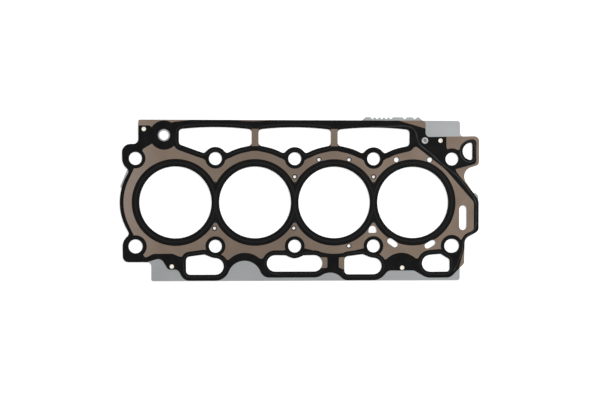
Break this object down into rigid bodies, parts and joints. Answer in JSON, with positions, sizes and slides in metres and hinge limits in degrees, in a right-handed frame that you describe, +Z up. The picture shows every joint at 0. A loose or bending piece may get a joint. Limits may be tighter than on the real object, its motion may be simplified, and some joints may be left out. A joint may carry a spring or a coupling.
{
  "type": "cylinder head gasket",
  "caption": "Flat multi-layer steel gasket with beaded rings round its bores, black seal bands, coolant windows and holes for head bolts.",
  "frame": {"origin": "middle of the row of bores, on the plane of the bead crests that meet the engine block", "axes": "+X along the row of bores, +Y towards the three long windows, +Z up towards the cylinder head"},
  "size_m": [0.3817, 0.174, 0.0018],
  "materials": {
    "coated_sheet": "satin",
    "seal_film": "matte",
    "spacer_steel": "satin",
    "eyelet_metal": "satin",
    "rivet_steel": "satin"
  },
  "bodies": {
    "root": {"upper_active_layer": "coated_sheet", "upper_seal_print": "seal_film", "spacer_layer": "spacer_steel", "lower_active_layer": "coated_sheet", "layer_eyelets": "eyelet_metal", "tab_rivet": "rivet_steel"}
  },
  "joints": []
}
